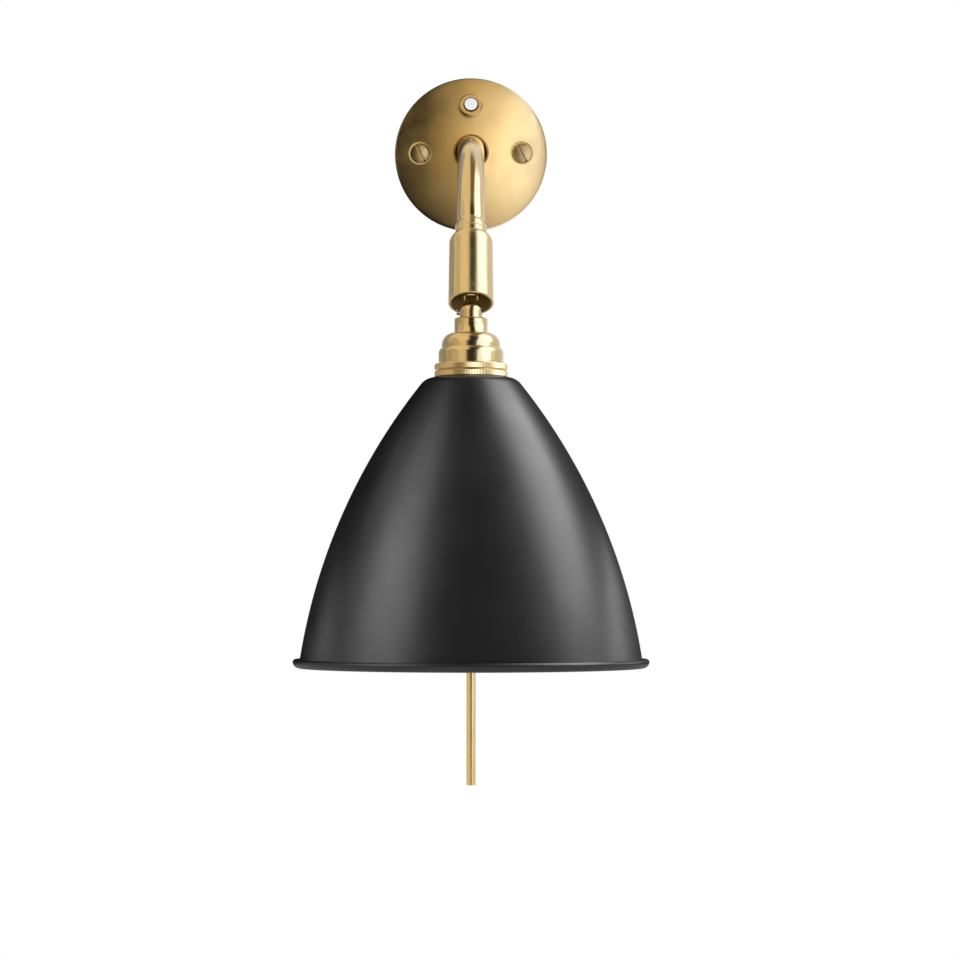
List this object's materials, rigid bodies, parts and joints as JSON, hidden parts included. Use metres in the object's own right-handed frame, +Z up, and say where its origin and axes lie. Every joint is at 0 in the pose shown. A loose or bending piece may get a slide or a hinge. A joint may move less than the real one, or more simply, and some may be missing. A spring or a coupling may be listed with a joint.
{
  "type": "adjustable wall lamp",
  "caption": "Brass wall lamp: round domed wall plate with a push switch, bent arm, cup with a knuckle joint, and a black bell shade that swivels and tilts.",
  "frame": {"origin": "on the wall at the centre of the round wall plate", "axes": "+Z up, +Y into the wall, +X to the right as seen from the room; the lamp reaches towards -Y"},
  "size_m": [0.1652, 0.2053, 0.3541],
  "materials": {
    "brass": "polished, clear lacquer",
    "shade_black": "gloss black outside, white inside",
    "silver_cap": "polished",
    "bright_steel": "turned",
    "zinc_steel": "zinc plated",
    "white_ceramic": "glazed",
    "contact_brass": "plain",
    "black_phenolic": "moulded",
    "cream_plastic": "moulded",
    "nylon": "moulded",
    "bulb_cap_metal": "rolled thread",
    "bulb_glass": "opal"
  },
  "bodies": {
    "wall_arm": {"wall_plate": "brass", "plate_screws": "brass", "switch_bush": "brass", "arm_tube": "brass", "arm_ferrule": "brass", "joint_cup": "brass", "cable_tube": "brass", "backing_plate": "zinc_steel", "arm_root_plug": "contact_brass", "arm_lock_washer": "zinc_steel", "arm_lock_nut": "contact_brass", "tube_saddle": "contact_brass", "saddle_screws": "zinc_steel", "switch_body": "black_phenolic", "switch_nut": "contact_brass", "switch_terminals": "contact_brass", "terminal_block": "cream_plastic", "terminal_screws": "zinc_steel", "block_screw": "zinc_steel", "earth_screw": "contact_brass", "swivel_housing": "contact_brass", "swivel_retainer": "contact_brass", "swivel_washer": "nylon"},
    "button": {"switch_button": "silver_cap"},
    "swivel": {"upper_knuckle": "brass"},
    "lamp_head": {"lower_knuckle": "brass", "hinge_screw": "bright_steel", "hinge_washer": "zinc_steel", "lampholder_cap": "brass", "lampholder_barrel": "brass", "upper_shade_ring": "brass", "lower_shade_ring": "brass", "inner_shade_ring": "brass", "shade": "shade_black", "lampholder_insert": "white_ceramic", "screw_shell": "contact_brass", "centre_contact": "contact_brass", "holder_terminals": "contact_brass", "bulb_cap": "bulb_cap_metal", "bulb_contact": "bulb_cap_metal", "bulb_glass": "bulb_glass"}
  },
  "joints": [
    {"name": "button_press", "type": "slide", "parent": "wall_arm", "child": "button", "axis": [0, 0.9775, -0.2109], "range_m": [0, 0.002], "stiffness_N_per_m": 450, "springref_m": -0.002},
    {"name": "head_swivel", "type": "hinge", "parent": "wall_arm", "child": "swivel", "pos_m": [0, -0.10682, -0.08912], "axis": [0, 0.4384, 0.8988], "range_deg": [-170, 170]},
    {"name": "head_tilt", "type": "hinge", "parent": "swivel", "child": "lamp_head", "pos_m": [0, -0.10682, -0.08912], "axis": [1, 0, 0], "range_deg": [-26, 6]}
  ]
}
